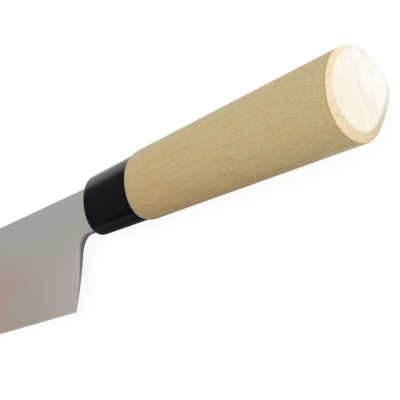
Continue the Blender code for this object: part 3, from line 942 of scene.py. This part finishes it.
class USUBA_OT_bedding(bpy.types.Operator):
    """Give the tang's bedding its resin"""
    bl_idname = "usuba.bedding"
    bl_label = "Tang bedding"

    def execute(self, context):
        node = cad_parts["tang_bedding"]
        node.data.materials.clear()
        node.data.materials.append(cured_resin())
        return {"FINISHED"}


class USUBA_OT_stage(bpy.types.Operator):
    """Lay the knife on a pale floor, light it softly and place the camera"""
    bl_idname = "usuba.stage"
    bl_label = "Stage"

    def execute(self, context):
        _, ferrule, blade, stage = settings()
        floor_turn = self.add_floor(ferrule, blade, stage)
        self.add_light(stage)
        upright = (0.0, math.pi / 2, 0.0)
        sideways = (math.pi / 2, 0.0, 0.0)
        # Name, place, turn, size and colour of each card
        cards = (
            ("far_card", (1.2, 0.1, 0.475), upright, (0.45, 1.5), "#696A70"),
            ("high_edge_card", (0.22, 0.13, 0.1275), sideways, (0.44, 0.125), "#2E2E30"),
            ("low_edge_card", (0.22, 0.13, 0.0275), sideways, (0.44, 0.075), "#88888C"),
            ("floor_card", (0.20, 0.0625, -0.0009), floor_turn, (0.34, 0.135), "#5A5A5C"))
        for card in cards:
            self.add_card(*card)
        self.add_camera(stage)
        return {"FINISHED"}

    def add_floor(self, ferrule, blade, stage):
        """The knife rests on the ridge of the ferrule's front and on the bevel's two corners at its tip."""
        ridge = Vector((FRONT_X - ferrule.nose_radius, *RESTING_PLACE))
        line_end, edge_end = (
            Vector((tip_x(blade), y, URA_Z - thickness(blade, tip_x(blade), y)))
            for y in (EDGE_Y - blade.bevel_width, EDGE_Y))
        up = (line_end - ridge).cross(edge_end - ridge).normalized()
        place = (ridge + line_end) / 2 - up * FLOOR_GAP
        turn = Vector((0.0, 0.0, 1.0)).rotation_difference(up).to_euler()
        floor = new_object(
            "floor", bpy.ops.mesh.primitive_plane_add, size=FLOOR_SIZE, location=place, rotation=turn)
        material, tree, *_ = new_material("Matt white paper")
        tree.nodes.clear()
        # Matt faces get the paper's bounce, and the eye sees it nearly white, with just a trace of shadow
        paper = add(tree, "BsdfDiffuse", {"Color": stage.floor})
        faint = add(tree, "BsdfDiffuse", {"Color": (0.15, 0.15, 0.15, 1.0)})
        glow = add(tree, "Emission", {"Color": (1.0, 1.0, 1.0, 1.0), "Strength": 0.91})
        white = add(tree, "AddShader", {0: faint, 1: glow})
        surface = add(tree, "MixShader", {0: seen_directly(tree), 1: paper, 2: white})
        add(tree, "OutputMaterial", {"Surface": surface})
        floor.data.materials.append(material)
        return floor.rotation_euler

    def add_light(self, stage):
        """A soft room, a large key above the spine side and behind the butt, and a low fill."""
        world = bpy.data.worlds.new("Soft studio")
        bpy.context.scene.world = world
        world.use_nodes = True
        tree = world.node_tree
        tree.nodes.clear()
        # White backdrop up to 8 degrees, fading to the softer room by 30 degrees
        direction = add(tree, "TexCoord", out="Generated")
        sweep = add(tree, "MapRange", {
            "Value": add(tree, "SeparateXYZ", {"Vector": direction}, "Z"),
            "From Min": 0.14, "From Max": 0.50, "To Min": 1.0, "To Max": 0.0},
            interpolation_type="SMOOTHSTEP")
        seen = add(tree, "Mix", {
            "Factor": sweep, 6: stage.ceiling, 7: (1.0, 1.0, 1.0, 1.0)}, 2, data_type="RGBA")
        ray = seen_directly(tree)
        # Matt faces get more light from the spine side than from the edge side
        level = add(tree, "MapRange", {
            "Value": add(tree, "SeparateXYZ", {"Vector": direction}, "Y"),
            "From Min": -1.0, "From Max": 1.0, "To Min": 1.15, "To Max": 1.0})
        level = add(tree, "Mix", {"Factor": ray, 2: level, 3: 1.0})
        shown = add(tree, "Mix", {"Factor": ray, 6: stage.room, 7: seen}, 2, data_type="RGBA")
        background = add(tree, "Background", {"Color": shown, "Strength": level})
        add(tree, "OutputWorld", {"Surface": background})
        # Name, place, size and power of each lamp, turned towards the grip
        aim = Vector((0.10, 0.0, 0.0))
        lamps = (
            ("key", Vector((-0.45, -0.30, 0.85)), 1.20, 5.5),
            ("fill", Vector((-0.75, 0.25, 0.35)), 0.90, 2.4))
        for name, place, size, power in lamps:
            turn = (place - aim).to_track_quat("Z", "Y").to_euler()
            lamp = new_object(name, bpy.ops.object.light_add, type="AREA", location=place, rotation=turn)
            lamp.data.size = size
            lamp.data.energy = power
            lamp.visible_glossy = name != "key"

    def add_card(self, name, place, turn, size, code):
        """A card that only reflections show: it shades the ferrule, out of the camera's sight."""
        card = new_object(name, bpy.ops.mesh.primitive_plane_add, size=1.0, location=place, rotation=turn)
        card.scale = (size[0], size[1], 1.0)
        card.visible_camera = False
        card.visible_diffuse = False
        card.visible_shadow = False
        material, tree, *_ = new_material(name)
        tree.nodes.clear()
        glow = add(tree, "Emission", {"Color": linear(code)})
        add(tree, "OutputMaterial", {"Surface": glow})
        card.data.materials.append(material)

    def add_camera(self, stage):
        """A long lens behind the butt and above the ura, turned on its side so that the spine is on top."""
        # Fitted to the outline in the photograph
        right = Vector((-0.53257, 0.09942, -0.84053))
        up = Vector((-0.20507, -0.97865, 0.01417))
        back = right.cross(up)
        turn = Matrix((right, up, back)).transposed().to_euler()
        place = (-0.20302, 0.07061, 0.18105)
        camera = new_object("camera", bpy.ops.object.camera_add, location=place, rotation=turn)
        camera.data.lens = stage.focal_length
        camera.data.clip_start = 0.01
        bpy.context.scene.camera = camera


class USUBA_PT_panel(bpy.types.Panel):
    """The knife's pieces and settings in the sidebar."""
    bl_idname = "USUBA_PT_panel"
    bl_label = "Usuba knife"
    bl_space_type = "VIEW_3D"
    bl_region_type = "UI"
    bl_category = "Usuba"

    def draw(self, context):
        for operator in OPERATORS:
            self.layout.operator(operator.bl_idname)
        for group in settings():
            box = self.layout.box()
            for name in group.__annotations__:
                box.prop(group, name)


OPERATORS = (
    USUBA_OT_stage, USUBA_OT_grip, USUBA_OT_ferrule,
    USUBA_OT_soft_iron, USUBA_OT_hard_steel, USUBA_OT_bedding)
GROUPS = {
    "usuba_grip": UsubaGripSettings,
    "usuba_ferrule": UsubaFerruleSettings,
    "usuba_blade": UsubaBladeSettings,
    "usuba_stage": UsubaStageSettings,
}


def register():
    for name, group in GROUPS.items():
        bpy.utils.register_class(group)
        setattr(bpy.types.Scene, name, bpy.props.PointerProperty(type=group))
    for operator in OPERATORS:
        bpy.utils.register_class(operator)
    bpy.utils.register_class(USUBA_PT_panel)


def unregister():
    bpy.utils.unregister_class(USUBA_PT_panel)
    for operator in reversed(OPERATORS):
        bpy.utils.unregister_class(operator)
    for name, group in reversed(GROUPS.items()):
        delattr(bpy.types.Scene, name)
        bpy.utils.unregister_class(group)


def main():
    register()
    bpy.context.scene.view_settings.view_transform = "Standard"
    bpy.ops.usuba.stage()
    bpy.ops.usuba.grip()
    bpy.ops.usuba.ferrule()
    bpy.ops.usuba.soft_iron()
    bpy.ops.usuba.hard_steel()
    bpy.ops.usuba.bedding()


if __name__ == "__main__":
    main()
